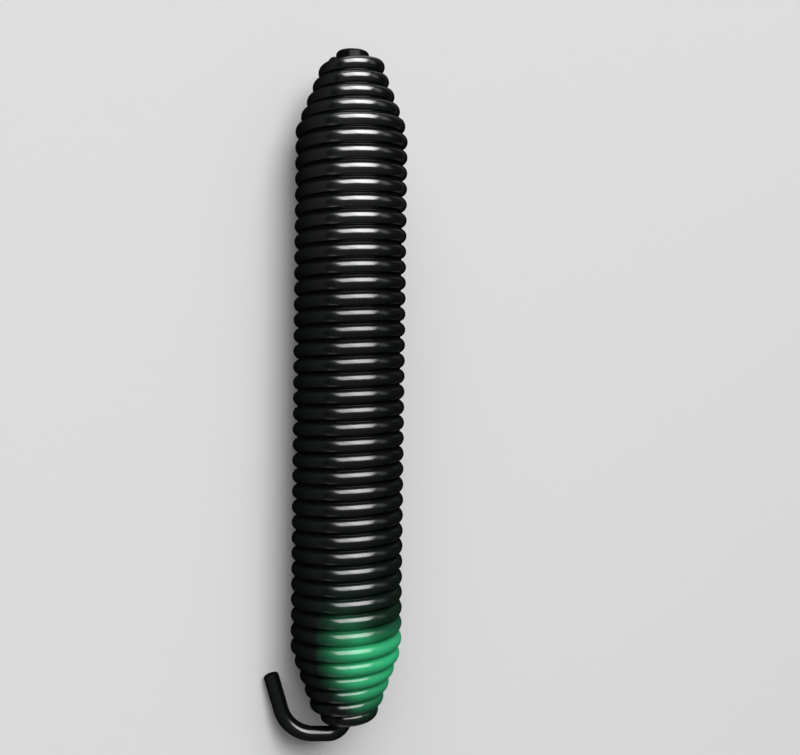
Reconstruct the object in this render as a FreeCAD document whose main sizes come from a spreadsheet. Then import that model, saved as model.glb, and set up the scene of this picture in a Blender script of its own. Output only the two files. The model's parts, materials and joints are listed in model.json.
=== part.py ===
import FreeCAD, Part
import math
import os

import Sketcher

# Barrier arm spring: a closed-coil tension spring, coned at both ends, with a swivel hook
# held in the lower cone and a tapped plug held in the upper one. Millimetres and degrees.
# Each piece is drawn upright on the spring's axis Z, with the front of the spring at -Y.
# The whole spring is then laid along X on the ground, with the hook turned down to rest.

SIZES = {
    # Coil: round wire, closed right-hand winding, counted in turns from the lower end.
    "wire_diameter": 6.0,
    "turn_gap": 0.12,
    "body_diameter": 44.0,
    "body_turns": 33.2,
    "upper_cone_turns": 4.25,
    "upper_end_turns": 0.6,
    "upper_end_angle": 144.0,
    "lower_cone_turns": 4.45,
    "closing_turns": 0.45,
    "lower_end_turns": 0.1,
    "running_clearance": 0.3,
    # Swivel hook: a bent rod with an upset head.
    "rod_diameter": 6.0,
    "head_diameter": 13.2,
    "head_rim": 2.4,
    "head_taper": 3.6,
    "head_chamfer": 0.6,
    "bend_radius": 7.0,
    "hook_run": 5.4,
    "hook_radius": 13.7,
    "hook_turn": 73.5,
    "hook_tip": 14.7,
    "tip_chamfer": 0.5,
    # Threaded plug: a turned cone with a neck and a tapped bore.
    "neck_diameter": 13.0,
    "neck_length": 7.5,
    "crown_rounding": 1.6,
    "plug_diameter": 21.0,
    "plug_rim": 3.0,
    "plug_chamfer": 0.6,
    "bore_diameter": 6.8,
    "bore_chamfer": 0.7,
    "plug_gap": 0.15,
}
ARC_PAIRS_PER_TURN = 6
POINTS_PER_PAIR = 4
SEAT_SAMPLES = 40
GREATEST_ROUNDING = 0.9  # of the wall that is rounded

doc = FreeCAD.newDocument("BarrierArmSpring")


def make_sheet(name, values):
    """A sheet with one named plain number per row."""
    sheet = doc.addObject("Spreadsheet::Sheet", name)
    for row, (alias, value) in enumerate(values.items(), start=1):
        sheet.set(f"A{row}", alias)
        sheet.set(f"B{row}", f"{value:.9g}")
        sheet.setAlias(f"B{row}", alias)
    doc.recompute()
    return sheet


sizes = make_sheet("Sizes", SIZES)
wire_radius = sizes.wire_diameter / 2
rod_radius = sizes.rod_diameter / 2
head_radius = sizes.head_diameter / 2
neck_radius = sizes.neck_diameter / 2
plug_radius = sizes.plug_diameter / 2
seat_offset = wire_radius + sizes.running_clearance
plug_offset = wire_radius + sizes.plug_gap

# Winding radii, to the wire's centre. Each small end is wound to fit the fitting it holds.
pitch = sizes.wire_diameter + sizes.turn_gap
body_radius = sizes.body_diameter / 2 - wire_radius
upper_end_radius = neck_radius + plug_offset
lower_neck_radius = head_radius + seat_offset
lower_end_radius = rod_radius + seat_offset

# Turn counts at which the winding changes, and the change of radius per turn between them.
closing_from = sizes.lower_end_turns
lower_cone_from = closing_from + sizes.closing_turns
body_from = lower_cone_from + sizes.lower_cone_turns
upper_cone_from = body_from + sizes.body_turns
upper_end_from = upper_cone_from + sizes.upper_cone_turns
total_turns = upper_end_from + sizes.upper_end_turns
closing_step = (lower_neck_radius - lower_end_radius) / sizes.closing_turns
lower_step = (body_radius - lower_neck_radius) / sizes.lower_cone_turns
upper_step = (body_radius - upper_end_radius) / sizes.upper_cone_turns


def eased_ramp(turn, start, end):
    """A ramp of slope one from start to end, level outside them, with eased corners."""
    easing = sizes.closing_turns / 4

    def corner(x):
        if abs(x) >= easing:
            return max(x, 0.0)
        return (x + easing) ** 2 / (4 * easing)

    return corner(turn - start) - corner(turn - end)


def winding_radius(turn):
    """Distance of the wire's centre from the axis."""
    radius = lower_end_radius
    radius += closing_step * eased_ramp(turn, closing_from, lower_cone_from)
    radius += lower_step * eased_ramp(turn, lower_cone_from, body_from)
    radius -= upper_step * eased_ramp(turn, upper_cone_from, upper_end_from)
    return radius


def winding_rise(turn):
    """Rise per turn at which the wire lies against the turn beside it."""
    above = winding_radius(min(turn + 0.5, total_turns))
    below = winding_radius(max(turn - 0.5, 0.0))
    return math.sqrt(pitch**2 - (above - below) ** 2)


# The wire's centre line, as turn counts, radii and heights above the lower end.
count = math.ceil(total_turns * ARC_PAIRS_PER_TURN) * POINTS_PER_PAIR
turns = [total_turns * i / count for i in range(count + 1)]
radii = [winding_radius(turn) for turn in turns]
heights = [0.0]
for lower, upper in zip(turns, turns[1:]):
    heights.append(heights[-1] + winding_rise((lower + upper) / 2) * (upper - lower))


def wire_place(index):
    """A point of the centre line and the wire's direction there. The winding is right-handed."""
    turn, radius = turns[index], radii[index]
    angle = math.radians(sizes.upper_end_angle + 360 * (turn - total_turns))
    outward = FreeCAD.Vector(math.cos(angle), math.sin(angle), 0)
    round_axis = FreeCAD.Vector(-math.sin(angle), math.cos(angle), 0)
    small = sizes.closing_turns / 100
    widening = (winding_radius(turn + small) - winding_radius(turn - small)) / (2 * small)
    rise = FreeCAD.Vector(0, 0, winding_rise(turn))
    way = outward * widening + round_axis * (2 * math.pi * radius) + rise
    return outward * radius + FreeCAD.Vector(0, 0, heights[index]), way.normalize()


def arc_with_corner(start, corner, end):
    """The arc from start to end whose end tangents meet at a corner, equally far from both."""
    middle = (start + end) / 2
    leg = (corner - start).Length
    half_chord = (end - start).Length / 2
    crown_share = half_chord / (half_chord + leg)
    return Part.Arc(start, middle + (corner - middle) * crown_share, end).toShape()


def arc_pair(first, last):
    """Two arcs that meet on one tangent, from one place and direction to another."""
    (start, start_way), (end, end_way) = first, last
    chord = end - start
    turning = 2 * (1 - start_way.dot(end_way))
    along = chord.dot(start_way + end_way)
    leg = (math.sqrt(along**2 + turning * chord.dot(chord)) - along) / turning
    start_corner, end_corner = start + start_way * leg, end - end_way * leg
    meeting = (start_corner + end_corner) / 2
    return [
        arc_with_corner(start, start_corner, meeting),
        arc_with_corner(meeting, end_corner, end),
    ]


def make_coil():
    """The spring wire, swept along its winding, which is bent in tangent arcs."""
    places = [wire_place(index) for index in range(0, count + 1, POINTS_PER_PAIR)]
    arcs = [arc for pair in zip(places, places[1:]) for arc in arc_pair(*pair)]
    path = doc.addObject("Part::Feature", "WirePath")
    path.Shape = Part.Wire(arcs)
    section = doc.addObject("Part::Circle", "WireSection")
    section.setExpression("Radius", "Sizes.wire_diameter / 2")
    start, way = places[0]
    section.Placement = FreeCAD.Placement(start, FreeCAD.Rotation(FreeCAD.Vector(0, 0, 1), way))
    coil = doc.addObject("Part::Sweep", "CoilSpring")
    coil.Label = "coil_spring"
    coil.Sections = [section]
    coil.Spine = (path, [f"Edge{i}" for i in range(1, len(arcs) + 1)])
    coil.Solid = True
    coil.Frenet = True
    return coil


def head_seat():
    """Height of the head's top face when its underside lies on the closing turn."""
    places = []
    for i in range(SEAT_SAMPLES + 1):
        share = i / SEAT_SAMPLES
        radius = head_radius + share * (rod_radius - head_radius)
        depth = sizes.head_rim + share * sizes.head_taper
        for turn, wire, height in zip(turns, radii, heights):
            if turn < body_from and abs(wire - radius) < seat_offset:
                rise = math.sqrt(seat_offset**2 - (wire - radius) ** 2)
                places.append(height + rise + depth)
    return max(places)


def bend_seat():
    """Greatest height of the bend's start at which the rod turns clear of the end turn."""
    reach = rod_radius + seat_offset
    bend = sizes.bend_radius
    closing = [(r, z) for r, z in zip(radii, heights) if r < lower_neck_radius]

    def spare(start):
        """Least distance from the wire's centre to the bend and the run, past the reach."""
        gaps = []
        for radius, height in closing:
            side, drop = radius - bend, height - start
            away = math.hypot(side, drop)
            if side <= 0 and drop <= 0:
                gaps.append(abs(bend - away))
            elif side > 0:
                gaps.append(drop + bend)
        return min(gaps, default=reach) - reach

    low, high = heights[0] - 2 * reach - bend, heights[0]
    if spare(high) >= 0:
        return high
    for _ in range(SEAT_SAMPLES):
        middle = (low + high) / 2
        low, high = (middle, high) if spare(middle) >= 0 else (low, middle)
    return low


# Where the fittings lie: the plug's shoulder runs along the inside of the upper cone.
upper_rise = math.sqrt(pitch**2 - upper_step**2)
upper_slope = math.atan2(upper_step, upper_rise)
upper_end_height = heights[min(range(count + 1), key=lambda i: abs(turns[i] - upper_end_from))]
neck_root = upper_end_height - plug_offset * math.tan(upper_slope / 2)
head_top = head_seat()
fits = make_sheet(
    "Fits",
    {
        "shank_length": head_top - bend_seat(),
        "shoulder_length": (plug_radius - neck_radius) / math.tan(upper_slope),
    },
)


def add_sketch(body, name, role):
    """A sketch on one of the body's own planes."""
    sketch = body.newObject("Sketcher::SketchObject", name)
    plane = next(f for f in body.Origin.OriginFeatures if f.Role == role)
    sketch.AttachmentSupport = [(plane, "")]
    sketch.MapMode = "FlatFace"
    return sketch


def bind(sketch, expression, *constraint):
    """A dimension that takes its value from an expression on the sheets."""
    value = float(sketch.evalExpression(expression))
    index = sketch.addConstraint(Sketcher.Constraint(*constraint, value))
    sketch.setExpression(f"Constraints[{index}]", expression)


def rim_at(shape, centre, radius):
    """Name of the round edge that has about this centre and radius."""

    def miss(edge):
        off_centre = edge.CenterOfMass.distanceToPoint(centre)
        return off_centre + abs(edge.Length / (2 * math.pi) - radius)

    edges = shape.Edges
    return f"Edge{min(range(len(edges)), key=lambda i: miss(edges[i])) + 1}"


def turn_about_z(body, name, corners):
    """A full revolution of a closed outline, whose corners are radii and heights."""
    sketch = add_sketch(body, name + "Outline", "XZ_Plane")
    places = [
        FreeCAD.Vector(*(float(sketch.evalExpression(text)) for text in corner), 0)
        for corner in corners
    ]
    last = len(corners) - 1
    for start, end in zip(places, places[1:] + places[:1]):
        sketch.addGeometry(Part.LineSegment(start, end))
    for i, (radius, height) in enumerate(corners):
        sketch.addConstraint(Sketcher.Constraint("Coincident", i - 1 if i else last, 2, i, 1))
        if radius == "0":
            sketch.addConstraint(Sketcher.Constraint("PointOnObject", i, 1, -2))
        else:
            bind(sketch, radius, "DistanceX", -1, 1, i, 1)
        if height == "0":
            sketch.addConstraint(Sketcher.Constraint("PointOnObject", i, 1, -1))
        else:
            bind(sketch, height, "DistanceY", -1, 1, i, 1)
    turned = body.newObject("PartDesign::Revolution", name)
    turned.Profile = sketch
    turned.ReferenceAxis = (sketch, ["V_Axis"])
    turned.Angle = 360
    return turned


def make_hook():
    """The hook, drawn from its head at the origin along +Z, bent towards +X and back."""
    body = doc.addObject("PartDesign::Body", "SwivelHook")
    body.Label = "swivel_hook"
    section = add_sketch(body, "RodSection", "XY_Plane")
    section.addGeometry(Part.Circle(FreeCAD.Vector(), FreeCAD.Vector(0, 0, 1), rod_radius))
    section.addConstraint(Sketcher.Constraint("Coincident", 0, 3, -1, 1))
    bind(section, "Sizes.rod_diameter / 2", "Radius", 0)

    # Centre line: shank, bend, run, hook and tip, each tangent to the one before.
    bend, curve, turned = sizes.bend_radius, sizes.hook_radius, math.radians(sizes.hook_turn)
    shank_end = FreeCAD.Vector(0, fits.shank_length, 0)
    bend_centre = shank_end + FreeCAD.Vector(bend, 0, 0)
    run_start = bend_centre + FreeCAD.Vector(0, bend, 0)
    run_end = run_start + FreeCAD.Vector(sizes.hook_run, 0, 0)
    curve_centre = run_end - FreeCAD.Vector(0, curve, 0)
    tip_start = curve_centre + FreeCAD.Vector(math.sin(turned), math.cos(turned), 0) * curve
    tip_way = FreeCAD.Vector(math.cos(turned), -math.sin(turned), 0)
    tip_end = tip_start + tip_way * sizes.hook_tip
    line = add_sketch(body, "RodLine", "XZ_Plane")
    up = FreeCAD.Vector(0, 0, 1)
    bend_circle = Part.Circle(bend_centre, up, bend)
    curve_circle = Part.Circle(curve_centre, up, curve)
    shank, first, run, second, tip = (
        line.addGeometry(geometry)
        for geometry in (
            Part.LineSegment(FreeCAD.Vector(), shank_end),
            Part.ArcOfCircle(bend_circle, math.pi / 2, math.pi),
            Part.LineSegment(run_start, run_end),
            Part.ArcOfCircle(curve_circle, math.pi / 2 - turned, math.pi / 2),
            Part.LineSegment(tip_start, tip_end),
        )
    )
    line.addConstraint(Sketcher.Constraint("Coincident", shank, 1, -1, 1))
    line.addConstraint(Sketcher.Constraint("Vertical", shank))
    line.addConstraint(Sketcher.Constraint("Tangent", shank, 2, first, 2))
    line.addConstraint(Sketcher.Constraint("Tangent", first, 1, run, 1))
    line.addConstraint(Sketcher.Constraint("Horizontal", run))
    line.addConstraint(Sketcher.Constraint("Tangent", run, 2, second, 2))
    line.addConstraint(Sketcher.Constraint("Tangent", second, 1, tip, 1))
    bind(line, "Fits.shank_length", "Distance", shank)
    bind(line, "Sizes.bend_radius", "Radius", first)
    bind(line, "Sizes.hook_run", "Distance", run)
    bind(line, "Sizes.hook_radius", "Radius", second)
    bind(line, "Sizes.hook_radius * cos(Sizes.hook_turn * 1 deg)", "DistanceY", second, 3, tip, 1)
    bind(line, "Sizes.hook_tip", "Distance", tip)

    rod = body.newObject("PartDesign::AdditivePipe", "Rod")
    rod.Profile = section
    rod.Spine = (line, [f"Edge{i}" for i in range(1, 6)])
    doc.recompute()
    turn_about_z(
        body,
        "Head",
        [
            ("0", "0"),
            ("Sizes.head_diameter / 2 - Sizes.head_chamfer", "0"),
            ("Sizes.head_diameter / 2", "Sizes.head_chamfer"),
            ("Sizes.head_diameter / 2", "Sizes.head_rim"),
            ("Sizes.rod_diameter / 2", "Sizes.head_rim + Sizes.head_taper"),
            ("0", "Sizes.head_rim + Sizes.head_taper"),
        ],
    )
    doc.recompute()
    head = body.Tip
    rim = rim_at(head.Shape, FreeCAD.Vector(tip_end.x, 0, tip_end.y), rod_radius)
    edge = body.newObject("PartDesign::Chamfer", "TipEdge")
    edge.Base = (head, [rim])
    edge.setExpression("Size", "Sizes.tip_chamfer")
    return body, tip_end


def make_plug():
    """The plug, turned about Z, with its wide inner face at the origin and its crown rounded."""
    body = doc.addObject("PartDesign::Body", "ThreadedPlug")
    body.Label = "threaded_plug"
    bore = "Sizes.bore_diameter / 2"
    mouth = "Sizes.bore_diameter / 2 + Sizes.bore_chamfer"
    flange = "Sizes.plug_diameter / 2"
    neck = "Sizes.neck_diameter / 2"
    root = "Sizes.plug_rim + Fits.shoulder_length"
    top = root + " + Sizes.neck_length"
    turn_about_z(
        body,
        "Turning",
        [
            (bore, "Sizes.bore_chamfer"),
            (mouth, "0"),
            (flange + " - Sizes.plug_chamfer", "0"),
            (flange, "Sizes.plug_chamfer"),
            (flange, "Sizes.plug_rim"),
            (neck, root),
            (neck, top),
            (mouth, top),
            (bore, top + " - Sizes.bore_chamfer"),
        ],
    )
    doc.recompute()
    turning = body.Tip
    end_height = sizes.plug_rim + fits.shoulder_length + sizes.neck_length
    rim = rim_at(turning.Shape, FreeCAD.Vector(0, 0, end_height), neck_radius)
    crown = body.newObject("PartDesign::Fillet", "Crown")
    crown.Base = (turning, [rim])
    wall = f"{GREATEST_ROUNDING} * ({neck} - ({mouth}))"
    crown.setExpression("Radius", f"min(Sizes.crown_rounding; {wall})")
    return body


coil = make_coil()
hook, tip_end = make_hook()
plug = make_plug()
doc.recompute()

# The spring lies on its body along X, plug towards +X. The hook leans down from the axis
# until the edge of its tip meets the ground, on the +Y side.
outer_radius = sizes.body_diameter / 2
tip_lean = math.cos(math.radians(sizes.hook_turn))
reach = tip_end.x
square = reach**2 + (rod_radius * tip_lean) ** 2
inside = (outer_radius * reach) ** 2 - square * (outer_radius**2 - rod_radius**2)
droop = (outer_radius * reach - math.sqrt(max(inside, 0))) / square
lean = math.asin(min(droop, 1))
down, across = math.sin(lean), math.cos(lean)
upright_to_lying = FreeCAD.Placement(
    FreeCAD.Matrix(0, 0, 1, 0, -across, -down, 0, 0, down, -across, 0, 0, 0, 0, 0, 1)
)
inner_face = neck_root - fits.shoulder_length - sizes.plug_rim
turned_over = FreeCAD.Rotation(FreeCAD.Vector(0, 1, 0), 180)
coil.Placement = upright_to_lying
hook.Placement = upright_to_lying.multiply(
    FreeCAD.Placement(FreeCAD.Vector(0, 0, head_top), turned_over)
)
plug.Placement = upright_to_lying.multiply(
    FreeCAD.Placement(FreeCAD.Vector(0, 0, inner_face), FreeCAD.Rotation())
)
doc.recompute()

# The origin goes to the middle of the footprint, on the ground.
hook_box = hook.Shape.optimalBoundingBox(False, False)
plug_box = plug.Shape.optimalBoundingBox(False, False)
middle = FreeCAD.Vector(
    (hook_box.XMin + plug_box.XMax) / 2, (hook_box.YMax - outer_radius) / 2, -outer_radius
)
for piece in (coil, hook, plug):
    piece.Placement.Base = piece.Placement.Base - middle
doc.recompute()

failed = [o.Label for o in doc.Objects if {"Invalid", "Error"} & set(o.State)]
unsound = [p.Label for p in (coil, hook, plug) if p.Shape.isNull() or not p.Shape.isValid()]
if failed or unsound:
    raise RuntimeError(f"not built: {failed + unsound}")
os.makedirs("parts", exist_ok=True)
for piece in (coil, hook, plug):
    piece.Shape.exportStep(f"parts/{piece.Label}.step")
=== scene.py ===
import json
import math

import bpy
import numpy as np
from mathutils import Matrix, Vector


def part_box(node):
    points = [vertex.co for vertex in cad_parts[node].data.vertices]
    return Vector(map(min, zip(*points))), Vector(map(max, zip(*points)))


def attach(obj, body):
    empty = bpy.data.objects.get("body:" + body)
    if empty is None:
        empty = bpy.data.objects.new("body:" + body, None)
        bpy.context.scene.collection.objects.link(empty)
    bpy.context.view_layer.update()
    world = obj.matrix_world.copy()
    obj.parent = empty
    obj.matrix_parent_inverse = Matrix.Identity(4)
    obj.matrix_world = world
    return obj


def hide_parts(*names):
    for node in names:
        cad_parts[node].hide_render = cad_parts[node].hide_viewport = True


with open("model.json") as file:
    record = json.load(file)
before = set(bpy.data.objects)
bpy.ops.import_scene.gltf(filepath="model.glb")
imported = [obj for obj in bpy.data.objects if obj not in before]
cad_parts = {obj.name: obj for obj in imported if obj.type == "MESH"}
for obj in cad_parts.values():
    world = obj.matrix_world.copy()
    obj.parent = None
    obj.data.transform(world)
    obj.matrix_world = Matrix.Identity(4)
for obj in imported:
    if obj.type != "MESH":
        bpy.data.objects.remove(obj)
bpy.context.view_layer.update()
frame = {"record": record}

# Coil spring
# One length of round spring wire, wound cold with closed turns and coned down at both ends.
# It is dipped in black enamel after winding, and the hook end carries a sprayed green mark.

MM = 0.001
wire_radius = 3.0 * MM
pitch = 6.12 * MM
body_radius = 19.0 * MM
upper_end_radius = 9.65 * MM
lower_neck_radius = 9.9 * MM
lower_end_radius = 6.3 * MM
closing_from = 0.1
closing_turns = 0.45
lower_cone_turns = 4.45
body_turns = 33.2
upper_cone_turns = 4.25
upper_end_turns = 0.6
lower_cone_from = closing_from + closing_turns
body_from = lower_cone_from + lower_cone_turns
upper_cone_from = body_from + body_turns
upper_end_from = upper_cone_from + upper_cone_turns
total_turns = upper_end_from + upper_end_turns
corner_easing = closing_turns / 4
upper_end_angle = math.radians(144)
rings_per_turn = 88
wire_sides = 24
sharp_edge = math.radians(30)

coil_low, coil_high = (np.array(corner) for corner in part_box("coil_spring"))
plug_low, plug_high = (np.array(corner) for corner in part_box("threaded_plug"))
axis_place = (plug_low + plug_high) / 2 * (0, 1, 1)
mounts = {mount["name"]: mount for mount in frame["record"]["mounts"]}
up = np.array((1.0, 0.0, 0.0))
hook_way = (np.array(mounts["hook_seat"]["pos_m"]) - axis_place) * (0, 1, 1)
right = -hook_way / np.linalg.norm(hook_way)
front = np.cross(right, up)


def eased_ramp(turn, start, end):
    """A ramp of slope one between two turn counts: the difference of two corners, each eased by
    a parabola."""

    def corner(x):
        eased = (x + corner_easing) ** 2 / (4 * corner_easing)
        return np.where(np.abs(x) >= corner_easing, np.maximum(x, 0), eased)

    return corner(turn - start) - corner(turn - end)


def winding_radius(turn):
    """Distance of the wire's centre from the axis: the end radius, plus two ramps outward, less one
    inward. Each ramp's slope is its change of radius over its turns."""
    closing = (lower_neck_radius - lower_end_radius) / (lower_cone_from - closing_from)
    lower = (body_radius - lower_neck_radius) / (body_from - lower_cone_from)
    upper = (body_radius - upper_end_radius) / (upper_end_from - upper_cone_from)
    return (
        lower_end_radius
        + closing * eased_ramp(turn, closing_from, lower_cone_from)
        + lower * eased_ramp(turn, lower_cone_from, body_from)
        - upper * eased_ramp(turn, upper_cone_from, upper_end_from)
    )


def winding_height(turn):
    """Height above the lower end, as a sum of rises. The square of a rise is the pitch squared, less the
    square of the change of radius over one turn, so that each turn lies one pitch from the next."""
    between = (turn[1:] + turn[:-1]) / 2
    above = winding_radius(np.minimum(between + 0.5, total_turns))
    below = winding_radius(np.maximum(between - 0.5, 0))
    rise = np.sqrt(pitch**2 - (above - below) ** 2)
    return np.concatenate(([0], np.cumsum(rise * np.diff(turn))))


def laid(across, away, height):
    """Upright places (to the right, away from the front, and up) as places in the frame, on the
    lying axis."""
    places = np.multiply.outer(across, right) - np.multiply.outer(away, front)
    return places + np.multiply.outer(height + lower_end_x, up) + axis_place


def carried_rings(path, side, radius, count):
    """Rings carried along a path: each point plus radius times (cos a side + sin a other), where side
    and other are square to the path."""
    way = np.gradient(path, axis=0)
    way /= np.linalg.norm(way, axis=1, keepdims=True)
    side = side - way * (side * way).sum(1, keepdims=True)
    side /= np.linalg.norm(side, axis=1, keepdims=True)
    other = np.cross(way, side)
    angle = np.arange(count) * 2 * math.pi / count
    spokes = np.cos(angle)[:, None] * side[:, None] + np.sin(angle)[:, None] * other[:, None]
    return path[:, None] + radius[:, None, None] * spokes


def mesh_from_rings(name, rings, closed=False):
    """A skin over a grid of rings: quads between each ring and the next, and a face over each open end."""
    rows, columns = rings.shape[:2]
    index = np.arange(rows * columns).reshape(rows, columns)
    here = index if closed else index[:-1]
    above = np.roll(index, -1, axis=0) if closed else index[1:]
    quads = np.stack((here, np.roll(here, -1, axis=1), np.roll(above, -1, axis=1), above), axis=-1)
    faces = quads.reshape(-1, 4).tolist()
    if not closed:
        faces += [index[0, ::-1].tolist(), index[-1].tolist()]
    mesh = bpy.data.meshes.new(name)
    mesh.from_pydata(rings.reshape(-1, 3), [], faces)
    mesh.shade_smooth()
    mesh.set_sharp_from_angle(angle=sharp_edge)
    piece = bpy.data.objects.new(name, mesh)
    bpy.context.scene.collection.objects.link(piece)
    return piece


def store(piece, name, values):
    """One number for each point of the mesh, which a material reads by its name."""
    attribute = piece.data.attributes.new(name, "FLOAT", "POINT")
    attribute.data.foreach_set("value", np.asarray(values, np.float32).ravel())


wire_turns = np.linspace(0, total_turns, round(total_turns * rings_per_turn) + 1)
wire_reach = winding_radius(wire_turns)
wire_heights = winding_height(wire_turns)
wire_angles = upper_end_angle + 2 * math.pi * (wire_turns - total_turns)
lower_end_x = (coil_low + coil_high)[0] / 2 - wire_heights[-1] / 2
wire_path = laid(wire_reach * np.cos(wire_angles), wire_reach * np.sin(wire_angles), wire_heights)
on_axis = 0 * wire_angles
outward = laid(np.cos(wire_angles), np.sin(wire_angles), on_axis) - laid(on_axis, on_axis, on_axis)
coil_rings = carried_rings(wire_path, outward, np.full(len(wire_turns), wire_radius), wire_sides)
coil = mesh_from_rings("coil_spring_wire", coil_rings)

# The green mark is sprayed from the front right: the limits of its fan about the axis, in radians from
# the front, and of its band along the axis, from the lower end.
spray_left, spray_full = math.radians(-30), math.radians(17)
spray_right, spray_right_fade = math.radians(140), math.radians(40)
spray_rim_share, spray_rim_width = 0.08, math.radians(2.3)
spray_lowest, spray_full_from, spray_edge = 5.0 * MM, 24.5 * MM, 39.0 * MM
lower_edge_slope, lower_edge_level_from = 13.0 * MM, 0.35
spray_edge_drop, edge_drop_from, edge_drop_to = 3.6 * MM, 0.1, 0.7
spray_edge_width, spray_edge_spread = 1.8 * MM, 1.7 * MM
spread_from, spread_to = 0.3, -0.05
mist_share, mist_reach = 0.07, 9.0 * MM
largest_exponent = 40
flank_facing = 0.6


def soft_step(x, low, high):
    """Zero below one limit and one above the other, with a smooth cubic between."""
    share = np.clip((x - low) / (high - low), 0, 1)
    return share * share * (3 - 2 * share)


def green_spray(places):
    """Share of the green paint on each place: a soft fan about the axis, times a band along it. The
    band's upper edge is a logistic curve with a thin mist above it, and its lower edge slopes down
    to the right."""
    from_axis = places - axis_place
    level = from_axis @ up - lower_end_x
    bearing = np.arctan2(from_axis @ right, from_axis @ front)
    rim = soft_step(bearing, spray_left - spray_rim_width, spray_left + spray_rim_width)
    across = spray_rim_share * rim + (1 - spray_rim_share) * soft_step(bearing, spray_left, spray_full)
    across *= 1 - soft_step(bearing, spray_right - spray_right_fade, spray_right)
    edge = spray_edge - spray_edge_drop * soft_step(bearing, edge_drop_from, edge_drop_to)
    width = spray_edge_width + spray_edge_spread * soft_step(bearing, spread_from, spread_to)
    mist = mist_share * np.exp(-np.maximum(level - edge, 0) / mist_reach)
    exponent = np.clip((level - edge) / width, -largest_exponent, largest_exponent)
    along = mist + (1 - mist) / (1 + np.exp(exponent))
    sloped_level = level + lower_edge_slope * np.minimum(bearing, lower_edge_level_from)
    return across * along * soft_step(sloped_level, spray_lowest, spray_full_from)


spoke = (coil_rings - wire_path[:, None]) / wire_radius
facing = (spoke * outward[:, None]).sum(-1)
store(coil, "spray", green_spray(coil_rings) * soft_step(facing, -flank_facing, flank_facing))

# The enamel's colours and gloss are fitted to the photograph: the gloss is faint on the underside, grows
# towards the plug and is lower under the paint. The noises are in cells to the metre.
black_thin, black_thick = (0.0022, 0.0028, 0.0026, 1), (0.0055, 0.0068, 0.0063, 1)
green_thin, green_thick = (0.027, 0.385, 0.156, 1), (0.04, 0.465, 0.194, 1)
thinnest_paint, droplet_paint, paint_dulling = 0.72, 0.56, 0.3
fullest_gloss, smear_dulling = 1.09, 0.12
dull_below, glossy_above, underside_gloss = 0.44, 0.64, 0.1
gloss_rises_from, gloss_full_from, hook_end_gloss = 25 * MM, 90 * MM, 0.48
peel_noise, smear_noise, droplet_noise = 900, 55, 1400
peel_strength, peel_depth = 0.12, 0.06 * MM
enamel_roughness, coat_roughness, coat_index = 0.5, 0.2, 2.9


class Shade:
    """A socket of a material's node tree. Arithmetic on it adds Math nodes."""

    def __init__(self, tree, socket=None):
        self.tree = tree
        self.socket = socket

    def node(self, kind, settings, inputs, output=0):
        """A new node, with its settings made first and then its sockets filled or linked."""
        made = self.tree.nodes.new("ShaderNode" + kind)
        for name, value in settings.items():
            setattr(made, name, value)
        for name, value in inputs.items():
            if isinstance(value, Shade):
                self.tree.links.new(value.socket, made.inputs[name])
            else:
                made.inputs[name].default_value = value
        return Shade(self.tree, made.outputs[output] if made.outputs else None)

    def math(self, operation, first, second):
        """One Math node on two values."""
        return self.node("Math", {"operation": operation}, {0: first, 1: second})

    def __add__(self, other):
        return self.math("ADD", self, other)

    __radd__ = __add__

    def __sub__(self, other):
        return self.math("SUBTRACT", self, other)

    def __rsub__(self, other):
        return self.math("SUBTRACT", other, self)

    def __mul__(self, other):
        return self.math("MULTIPLY", self, other)

    __rmul__ = __mul__

    def blend(self, first, second):
        """A colour from the first to the second, by this share."""
        return self.node("Mix", {"data_type": "RGBA"}, {0: self, 6: first, 7: second}, 2)

    def eased(self, low, high, least, most):
        """A smooth rise from the least to the most, as this value goes from low to high."""
        limits = {"From Min": low, "From Max": high, "To Min": least, "To Max": most}
        return self.node("MapRange", {"interpolation_type": "SMOOTHSTEP"}, {"Value": self, **limits})


def new_finish(name):
    """An empty material, and the start of its shader expressions."""
    material = bpy.data.materials.new(name)
    material.use_nodes = True
    material.node_tree.nodes.clear()
    return material, Shade(material.node_tree)


def cover(piece, material):
    """The one material of a piece."""
    piece.data.materials.clear()
    piece.data.materials.append(material)


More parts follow.
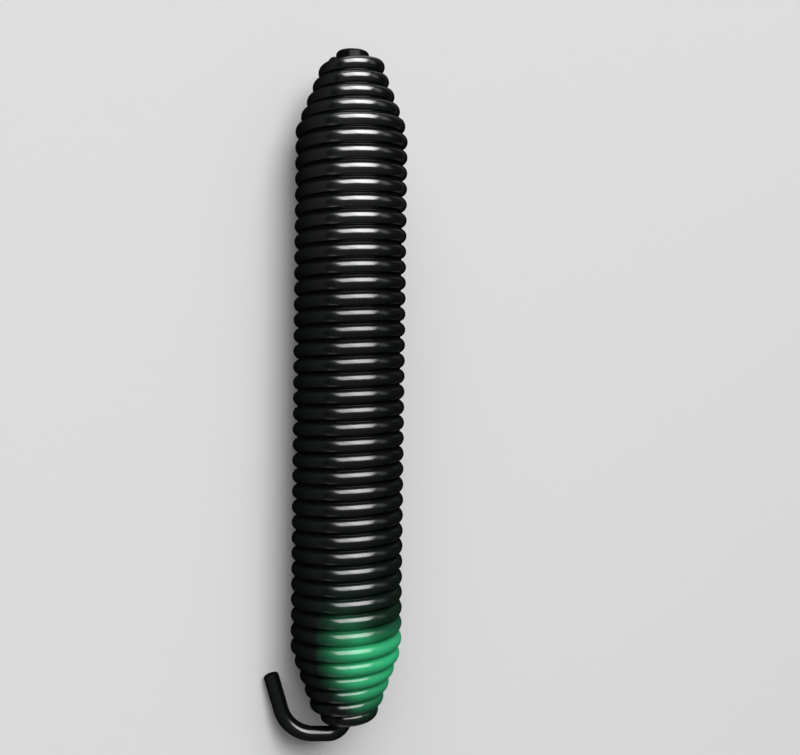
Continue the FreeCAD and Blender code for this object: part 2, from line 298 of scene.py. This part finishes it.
def black_enamel(name, shine, along_share=1.0, marked=False):
    """Black dip enamel with a faint orange peel and handling smears, and the green paint where it is
    sprayed. The gloss is the cube of how far the surface faces the eye, times shares for the upper side,
    for the way to the plug and for the smears. A small along_share leaves out the wire's roundness."""
    material, start = new_finish(name)
    place = start.node("TexCoord", {}, {}, "Object")
    peel = start.node("TexNoise", {}, {"Vector": place, "Scale": peel_noise, "Detail": 2})
    smear = start.node(
        "TexNoise", {}, {"Vector": place, "Scale": smear_noise, "Detail": 5, "Roughness": 0.6}
    )
    normal = start.node("NewGeometry", {}, {}, "Normal")
    squeezed = start.node("VectorMath", {"operation": "MULTIPLY"}, {0: normal, 1: (along_share, 1, 1)})
    out = start.node("VectorMath", {"operation": "NORMALIZE"}, {0: squeezed})
    towards = 1 - start.node("LayerWeight", {}, {"Blend": 0.5, "Normal": out}, "Facing")
    upward = start.node("SeparateXYZ", {}, {"Vector": out}, "Z")
    along_axis = start.node("SeparateXYZ", {}, {"Vector": place}, "X")
    upper_side = upward.eased(dull_below, glossy_above, underside_gloss, 1.0)
    plug_end = along_axis.eased(gloss_rises_from, gloss_full_from, hook_end_gloss * shine, shine)
    gloss = towards * towards * towards * upper_side * plug_end * (fullest_gloss - smear * smear_dulling)
    colour = smear.blend(black_thin, black_thick)
    if marked:
        spray = start.node("Attribute", {"attribute_name": "spray"}, {}, "Fac")
        droplets = start.node(
            "TexNoise", {}, {"Vector": place, "Scale": droplet_noise, "Detail": 4, "Roughness": 0.7}
        )
        laid_on = spray * (thinnest_paint + droplets * droplet_paint)
        colour = laid_on.blend(colour, smear.blend(green_thin, green_thick))
        gloss = gloss * (1 - laid_on * paint_dulling)
    bumps = start.node("Bump", {}, {"Height": peel, "Strength": peel_strength, "Distance": peel_depth})
    shader = start.node(
        "BsdfPrincipled",
        {},
        {
            "Base Color": colour,
            "Roughness": enamel_roughness,
            "Specular IOR Level": 0.0,
            "Normal": bumps,
            "Coat Weight": gloss,
            "Coat Roughness": coat_roughness,
            "Coat IOR": coat_index,
        },
    )
    start.node("OutputMaterial", {}, {"Surface": shader})
    return material


cover(coil, black_enamel("marked_enamel", shine=1.0, along_share=0.2, marked=True))
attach(coil, "spring")
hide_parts("coil_spring")

# Enamel in the grooves
# Dip enamel that has run together between the closed turns and covers the slight gap that is left there.
# It has set as a thin web with a hollow face, and it holds to the wire on both sides.

web_reach = 1.2 * MM
web_back = 0.4 * MM
web_hollow = 0.12 * MM
web_hold = 0.05 * MM
face_points = 5


def height_at(turn):
    """Height of the winding at any turn count, read off the coil's own heights."""
    return np.interp(turn, wire_turns, wire_heights)


def web_rings(turn):
    """Sections of the web: a line from the flank of one turn to the flank of the next, hollowed by a
    parabola, and a straight back. Each flank point lies just inside the wire's circle, at the angle
    whose sine is its reach over the wire's radius."""
    here = np.stack((winding_radius(turn), height_at(turn)), axis=-1)
    above = np.stack((winding_radius(turn + 1), height_at(turn + 1)), axis=-1)
    along = above - here
    along /= np.linalg.norm(along, axis=1, keepdims=True)
    out = np.stack((along[:, 1], -along[:, 0]), axis=-1)

    def flanks(reach):
        slope = math.asin(reach / wire_radius)
        rise = (wire_radius - web_hold) * math.cos(slope)
        spread = (wire_radius - web_hold) * math.sin(slope)
        return here + rise * along + spread * out, above - rise * along + spread * out

    face_low, face_high = flanks(web_reach)
    share = np.linspace(1, 0, face_points)[:, None]
    face = face_low[:, None] + share * (face_high - face_low)[:, None]
    face -= 4 * share * (1 - share) * web_hollow * out[:, None]
    section = np.concatenate((face, np.stack(flanks(web_back), axis=1)), axis=1)
    way_round = (upper_end_angle + 2 * math.pi * (turn - total_turns))[:, None]
    return laid(section[..., 0] * np.cos(way_round), section[..., 0] * np.sin(way_round), section[..., 1])


web_places = web_rings(wire_turns[(wire_turns > closing_from) & (wire_turns < total_turns - 1)])
web = mesh_from_rings("groove_enamel", web_places)
store(web, "spray", green_spray(web_places))
cover(web, black_enamel("groove_enamel", shine=0.1, marked=True))
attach(web, "spring")

# Swivel hook
# A steel rod bent to an open hook, with an upset head that the closing turn of the coil holds.
# It is enamelled with the spring and can turn in the end of the cone.

rod_radius = 3.0 * MM
head_radius = 6.6 * MM
head_rim = 2.4 * MM
head_taper = 3.6 * MM
head_chamfer = 0.6 * MM
head_top = 7.66 * MM
bend_radius = 7.0 * MM
hook_run = 5.4 * MM
hook_radius = 13.7 * MM
hook_turn = math.radians(73.5)
hook_tip = 14.7 * MM
tip_chamfer = 0.5 * MM
rod_steps = 260
rod_sides = 32

hook_low = np.array(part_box("swivel_hook")[0])
run_level = hook_low[0] + rod_radius - lower_end_x
rod_parts = (
    head_top - run_level - bend_radius,
    bend_radius * math.pi / 2,
    hook_run,
    hook_radius * hook_turn,
    hook_tip,
)
part_ends = np.cumsum(rod_parts)
rod_length = part_ends[-1]


def hook_line(distance):
    """Reach and height of the rod's centre by the distance along it: shank, bend, run, hook and tip, each
    starting where the one before ends. An arc adds radius times the change of its sine and cosine."""
    shank, bend, run, curve, tip = (
        np.clip(distance - end + length, 0, length) for end, length in zip(part_ends, rod_parts)
    )
    bent, curved = bend / bend_radius, curve / hook_radius
    reach = bend_radius * (1 - np.cos(bent)) + run + hook_radius * np.sin(curved)
    drop = shank + bend_radius * np.sin(bent) - hook_radius * (1 - np.cos(curved))
    return reach + tip * math.cos(hook_turn), head_top - drop + tip * math.sin(hook_turn)


corners = (0, head_chamfer, head_rim, head_rim + head_taper, rod_length - tip_chamfer, rod_length)
corner_radii = (
    head_radius - head_chamfer,
    head_radius,
    head_radius,
    rod_radius,
    rod_radius,
    rod_radius - tip_chamfer,
)
distance = np.union1d(np.linspace(0, rod_length, rod_steps), corners)
hook_reach, hook_height = hook_line(distance)
rod_path = laid(-hook_reach, 0 * hook_reach, hook_height)
rod_rings = carried_rings(
    rod_path,
    np.broadcast_to(front, rod_path.shape),
    np.interp(distance, corners, corner_radii),
    rod_sides,
)
hook = mesh_from_rings("swivel_hook_rod", rod_rings)
cover(hook, black_enamel("hook_enamel", shine=1.0))
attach(hook, "hook")
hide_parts("swivel_hook")

# Threaded plug
# A steel plug turned to the slope of the upper cone, which grips it, with a neck that stands out of the
# end. Its tapped bore takes the adjusting bolt.

neck_radius = 6.5 * MM
neck_length = 7.5 * MM
crown_rounding = 1.6 * MM
plug_radius = 10.5 * MM
plug_rim = 3.0 * MM
plug_chamfer = 0.6 * MM
bore_radius = 3.4 * MM
bore_chamfer = 0.7 * MM
thread_pitch = 1.25 * MM
thread_depth = 0.55 * MM
crown_points = 12
bore_rows = 220
plug_sides = 72

plug_height = plug_high[0] - plug_low[0]
crown_angle = np.linspace(0, math.pi / 2, crown_points)
crown = np.stack(
    (
        neck_radius - crown_rounding * (1 - np.cos(crown_angle)),
        plug_height - crown_rounding * (1 - np.sin(crown_angle)),
    ),
    axis=1,
)
outline = np.concatenate(
    (
        (
            (bore_radius + bore_chamfer, 0),
            (plug_radius - plug_chamfer, 0),
            (plug_radius, plug_chamfer),
            (plug_radius, plug_rim),
            (neck_radius, plug_height - neck_length),
        ),
        crown,
        ((bore_radius + bore_chamfer, plug_height),),
    )
)
bore_heights = np.linspace(plug_height, 0, bore_rows)[1:-1]


def thread_groove(height, angle):
    """Depth of the thread: a triangle wave of height less the part of a turn, which winds it
    right-handed."""
    phase = np.mod(height / thread_pitch - angle / (2 * math.pi), 1)
    return thread_depth * (1 - np.abs(2 * phase - 1))


plug_angle = np.arange(plug_sides) * 2 * math.pi / plug_sides
from_mouth = np.minimum(bore_heights, plug_height - bore_heights)
widening = np.maximum(bore_chamfer - from_mouth, 0)
wall = np.maximum(
    bore_radius + thread_groove(bore_heights[:, None], plug_angle), bore_radius + widening[:, None]
)
plug_radii = np.concatenate((np.repeat(outline[:, :1], plug_sides, axis=1), wall))
plug_heights = np.concatenate((outline[:, 1], bore_heights))[:, None] + 0 * plug_radii
plug_foot = plug_low[0] - lower_end_x
plug_rings = laid(
    plug_radii * np.cos(plug_angle), plug_radii * np.sin(plug_angle), plug_heights + plug_foot
)
plug = mesh_from_rings("threaded_plug_turned", plug_rings, closed=True)
cover(plug, black_enamel("plug_enamel", shine=0.08))
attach(plug, "spring")
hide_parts("threaded_plug")

# Floor
# A plain round sheet of pale paper that the spring lies on.
# It is part of the studio and not of the spring.

floor_radius = 1.9
floor_sides = 180
floor_colour = (0.82, 0.82, 0.82, 1)
floor_angle = np.arange(floor_sides) * 2 * math.pi / floor_sides
floor_rim = np.stack((np.cos(floor_angle), np.sin(floor_angle), 0 * floor_angle), axis=1) * floor_radius
floor_mesh = bpy.data.meshes.new("studio_floor")
floor_mesh.from_pydata(floor_rim, [], [tuple(range(floor_sides))])
floor = bpy.data.objects.new("studio_floor", floor_mesh)
bpy.context.scene.collection.objects.link(floor)
floor_paper, floor_start = new_finish("pale_paper")
paper = floor_start.node(
    "BsdfPrincipled", {}, {"Base Color": floor_colour, "Roughness": 0.9, "Specular IOR Level": 0.1}
)
floor_start.node("OutputMaterial", {}, {"Surface": paper})
cover(floor, floor_paper)

# Studio light
# Two wide soft boxes overlap in front of the spring, towards the plug's end and a little to the right, and
# draw a short bar of light on each turn. A weak one stands at the right, and the sky is dim and even.

lamp_distance = 9.0
sky_colour, sky_strength = (0.9, 0.95, 1.0, 1), 0.06


def soft_box(name, bearing_degrees, rise_degrees, width, depth, watts):
    """A rectangular lamp that faces the axis, from a bearing to the right of the front and a rise towards
    the plug's end."""
    bearing, rise = math.radians(bearing_degrees), math.radians(rise_degrees)
    way = math.cos(rise) * (math.cos(bearing) * front + math.sin(bearing) * right) + math.sin(rise) * up
    lamp = bpy.data.lights.new(name, "AREA")
    lamp.shape = "RECTANGLE"
    lamp.size, lamp.size_y = width, depth
    lamp.energy = watts
    holder = bpy.data.objects.new(name, lamp)
    bpy.context.scene.collection.objects.link(holder)
    across = np.cross(up, way)
    across /= np.linalg.norm(across)
    turned = Matrix(np.stack((across, np.cross(way, across), way), axis=1).tolist()).to_4x4()
    holder.matrix_world = Matrix.Translation(axis_place + way * lamp_distance) @ turned


soft_box("key_soft_box", bearing_degrees=16.5, rise_degrees=45, width=12.3, depth=8.7, watts=1070)
soft_box("fill_soft_box", bearing_degrees=32, rise_degrees=45, width=5.8, depth=8.7, watts=265)
soft_box("side_soft_box", bearing_degrees=78, rise_degrees=25, width=3.0, depth=6.0, watts=32)
world = bpy.data.worlds.new("dim_studio")
bpy.context.scene.world = world
world.use_nodes = True
world.node_tree.nodes["Background"].inputs["Color"].default_value = sky_colour
world.node_tree.nodes["Background"].inputs["Strength"].default_value = sky_strength

# Camera
# It looks at the front of the spring, nearly square to the axis, with the plug at the top of the picture.
# Its place and its small turns are fitted to the outline of the spring in the photograph.

camera_distance = 405.0 * MM
camera_level = 147.0 * MM
camera_focal_pixels = 1024.7
camera_pitch, camera_yaw, camera_roll = (math.radians(value) for value in (-1.66, 2.85, 0.73))
photo_width = 800
sensor_width_mm = 36
camera_data = bpy.data.cameras.new("photo_camera")
camera_data.sensor_width = sensor_width_mm
camera_data.lens = camera_focal_pixels * sensor_width_mm / photo_width
camera = bpy.data.objects.new("photo_camera", camera_data)
bpy.context.scene.collection.objects.link(camera)
look = math.cos(camera_pitch) * (math.sin(camera_yaw) * right - math.cos(camera_yaw) * front)
look += math.sin(camera_pitch) * up
level_right = math.cos(camera_yaw) * right + math.sin(camera_yaw) * front
level_up = np.cross(level_right, look)
camera_right = math.cos(camera_roll) * level_right + math.sin(camera_roll) * level_up
camera_up = math.cos(camera_roll) * level_up - math.sin(camera_roll) * level_right
camera_place = axis_place + (lower_end_x + camera_level) * up + camera_distance * front
camera_turn = Matrix(np.stack((camera_right, camera_up, -look), axis=1).tolist()).to_4x4()
camera.matrix_world = Matrix.Translation(camera_place) @ camera_turn
bpy.context.scene.camera = camera
bpy.context.scene.view_settings.view_transform = "Standard"
